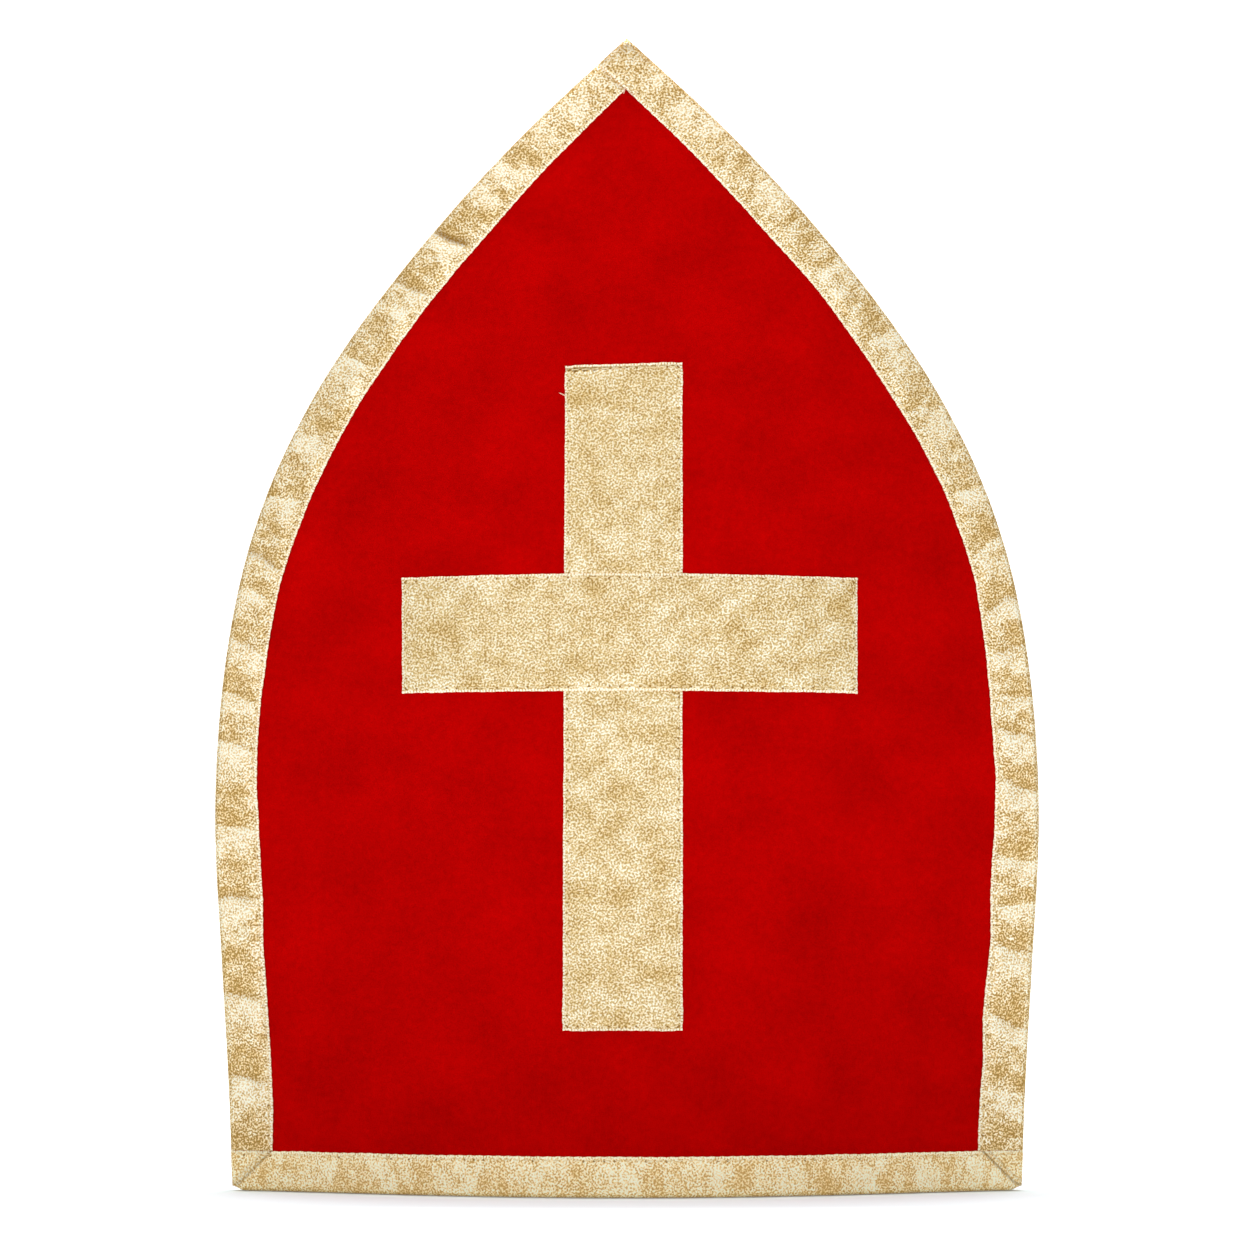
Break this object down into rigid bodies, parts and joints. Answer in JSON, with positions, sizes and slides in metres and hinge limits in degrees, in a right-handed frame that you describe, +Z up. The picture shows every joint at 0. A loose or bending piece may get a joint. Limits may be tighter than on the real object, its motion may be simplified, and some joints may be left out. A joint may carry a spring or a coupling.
{
  "type": "bishop's mitre",
  "caption": "Tall two-pointed bishop's mitre in red velvet, edged with gold tape, with a gold cloth cross on the front panel, open below for the head.",
  "frame": {"origin": "on the surface the mitre stands on, below the middle of the head opening", "axes": "+Z up, from the rim to the points; the front panel with the cross faces -Y; +X is to the right of someone who faces the front"},
  "size_m": [0.2914, 0.1105, 0.4],
  "materials": {
    "red_velvet": "short matt velvet pile",
    "gold_tape": "crinkled pale gold metallic cloth, folded over the edges and stitched",
    "gold_cloth": "crinkled pale gold metallic cloth, stitched flat"
  },
  "bodies": {
    "root": {"front_panel": "red_velvet", "back_panel": "red_velvet", "front_left_binding": "gold_tape", "front_right_binding": "gold_tape", "front_hem_binding": "gold_tape", "back_left_binding": "gold_tape", "back_right_binding": "gold_tape", "back_hem_binding": "gold_tape", "cross_upright": "gold_cloth", "cross_bar": "gold_cloth"}
  },
  "joints": []
}
